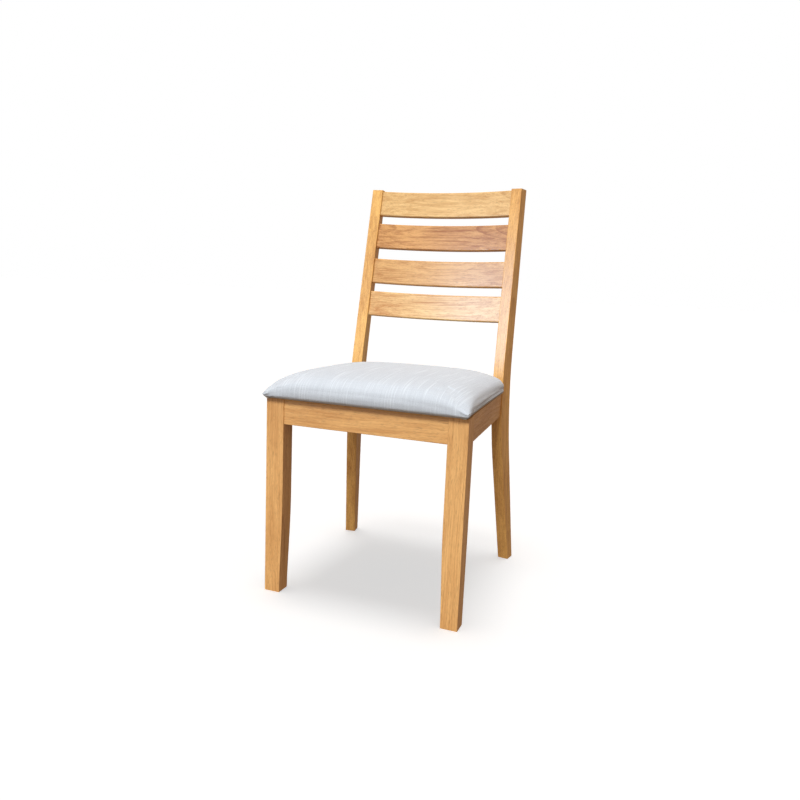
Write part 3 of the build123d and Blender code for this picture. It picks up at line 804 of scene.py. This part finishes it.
def dust_cover():
    """Thin black cloth stapled under the board, with a slight sag in its middle."""
    low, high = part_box("dust_cover")
    leg_low, leg_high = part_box("front_leg_right")
    apron_low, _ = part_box("side_apron_right")
    margin = DUST_COVER_MARGIN
    thickness = high.z - low.z
    back_inner = NOTCH_HALF_WIDTH - margin
    notch_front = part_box("seat_cover")[1].y - NOTCH_DEPTH - margin
    front_inner = leg_low.x - margin
    leg_back = leg_high.y + margin
    rear_x = apron_low.x - margin + DUST_COVER_REAR_EASE
    right = [
        (front_inner, low.y),
        (front_inner, leg_back),
        (high.x, leg_back),
        (rear_x, notch_front),
        (back_inner, notch_front),
        (back_inner, high.y),
    ]
    left = [(-x, y) for x, y in reversed(right)]
    corners = [(corner, DUST_COVER_CORNER) for corner in right + left]
    outline = rounded(corners, DUST_COVER_POINTS)
    centre = Vector((0, (low.y + high.y) / 2))
    top, bottom = [], []
    for step in range(DUST_COVER_RINGS):
        share = 1 - step / DUST_COVER_RINGS
        ring = [centre + (p - centre) * share for p in outline]
        sag = DUST_COVER_SAG * (1 - share ** 2) ** 2
        top_z = high.z - DUST_COVER_DROP - sag
        bottom_z = high.z - DUST_COVER_DROP - thickness * DUST_COVER_THICKNESS_SHARE - sag
        top.append([Vector((*p, top_z)) for p in ring])
        bottom.append([Vector((*p, bottom_z)) for p in ring])
    cloth = ring_mesh("dust_cloth", list(reversed(top)) + bottom, close_start=True, close_end=True)
    cloth.data.materials.append(non_woven("black_non_woven", BLACK, DEEP_BLACK))
    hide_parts("dust_cover")
    plan_area(outline)
    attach(cloth, "root")


def plan_area(outline):
    """Area inside a closed outline."""
    pairs = zip(outline, outline[1:] + outline[:1])
    return abs(sum(a.x * b.y - b.x * a.y for a, b in pairs)) / 2


# ---------------------------------------------------------------- stage

def aimed(name, data, place, target):
    """A light at a place, turned to face a target."""
    light = bpy.data.objects.new(name, data)
    light.location = place
    light.rotation_euler = (Vector(target) - Vector(place)).to_track_quat("-Z", "Y").to_euler()
    bpy.context.scene.collection.objects.link(light)
    return light


def distant_light(name, direction, strength, spread, not_on=None):
    """Soft light from far away, from a direction. Strength 1 makes a white surface that faces it white."""
    data = bpy.data.lights.new(name, "SUN")
    data.energy = strength * pi
    data.angle = radians(spread)
    light = aimed(name, data, Vector(direction) * 5, (0, 0, 0))
    light.visible_glossy = False
    if not_on:
        light.light_linking.receiver_collection = not_on


def left_out(thing):
    """A collection that keeps a light off one thing."""
    group = bpy.data.collections.new(f"{thing.name}_left_out")
    group.objects.link(thing)
    group.collection_objects[0].light_linking.link_state = "EXCLUDE"
    return group


def window_light(place, target, size, power):
    """The one light that shows in the lacquer, as a window would. It lights nothing else."""
    data = bpy.data.lights.new("window", "AREA")
    data.shape = "RECTANGLE"
    data.size, data.size_y = size
    data.energy = power
    data.color = (0.42, 0.74, 1.1)
    aimed("window", data, place, target).visible_diffuse = False


def studio_world(above, below, tint):
    """White surroundings behind the chair. As a source of light they are warm, and dimmer from below."""
    world = bpy.data.worlds.new("studio")
    world.use_nodes = True
    tree = world.node_tree
    path = tree.nodes.new("ShaderNodeLightPath")
    direction = tree.nodes.new("ShaderNodeTexCoord")
    parts = tree.nodes.new("ShaderNodeSeparateXYZ")
    tree.links.new(direction.outputs["Generated"], parts.inputs[0])
    level = tree.nodes.new("ShaderNodeMapRange")
    level.inputs["From Min"].default_value = -0.5
    level.inputs["From Max"].default_value = 0.6
    level.inputs["To Min"].default_value = below
    level.inputs["To Max"].default_value = above
    tree.links.new(parts.outputs["Z"], level.inputs["Value"])
    surroundings = tree.nodes["Background"]
    surroundings.inputs["Color"].default_value = tint
    tree.links.new(level.outputs[0], surroundings.inputs["Strength"])
    backdrop = tree.nodes.new("ShaderNodeBackground")
    backdrop.inputs["Color"].default_value = rgb(1.0, 1.0, 1.0)
    chosen = tree.nodes.new("ShaderNodeMixShader")
    tree.links.new(path.outputs["Is Camera Ray"], chosen.inputs[0])
    tree.links.new(surroundings.outputs[0], chosen.inputs[1])
    tree.links.new(backdrop.outputs[0], chosen.inputs[2])
    tree.links.new(chosen.outputs[0], tree.nodes["World Output"].inputs["Surface"])
    bpy.context.scene.world = world


def build_stage():
    """Floor, lights and camera."""
    scene = bpy.context.scene
    scene.view_settings.view_transform = "Standard"
    half = FLOOR_HALF_WIDTH
    corners = [(-half, -half, 0), (half, -half, 0), (half, half, 0), (-half, half, 0)]
    mesh = bpy.data.meshes.new("floor")
    mesh.from_pydata(corners, [], [(0, 1, 2, 3)])
    floor = bpy.data.objects.new("floor", mesh)
    floor.location.z = cad_bounds[0][2]
    floor.visible_diffuse = False
    floor.visible_glossy = False
    mesh.materials.append(floor_material(albedo=0.82, glow=0.535))
    scene.collection.objects.link(floor)

    studio_world(above=0.46, below=0.20, tint=rgb(1.0, 0.72, 0.54))
    chair_only = left_out(floor)
    distant_light("high_key", (0.0, -0.66, 0.72), 0.86, 16, not_on=chair_only)
    distant_light("low_key", (-0.10, -0.95, 0.22), 0.07, 50, not_on=chair_only)
    distant_light("back_fill", (-0.35, 0.90, 0.15), 0.20, 30, not_on=chair_only)
    distant_light("overhead", (-0.03, -0.02, 1.0), 0.36, 22)
    window_light((-1.125, -1.88, 1.33), (0.1, 0.2, 0.65), (0.57, 0.74), 27)

    data = bpy.data.cameras.new("camera")
    data.lens = CAMERA_LENS
    data.sensor_width = SENSOR_WIDTH
    camera = bpy.data.objects.new("camera", data)
    yaw = Matrix.Rotation(radians(CAMERA_YAW), 4, "Z")
    pitch = Matrix.Rotation(radians(90 + CAMERA_PITCH), 4, "X")
    roll = Matrix.Rotation(radians(CAMERA_ROLL), 4, "Z")
    turn = yaw @ pitch
    camera.matrix_world = Matrix.Translation(CAMERA_PLACE) @ turn @ roll
    scene.collection.objects.link(camera)
    scene.camera = camera


build_stage()
finish_frame()
cover_and_foam()
dust_cover()
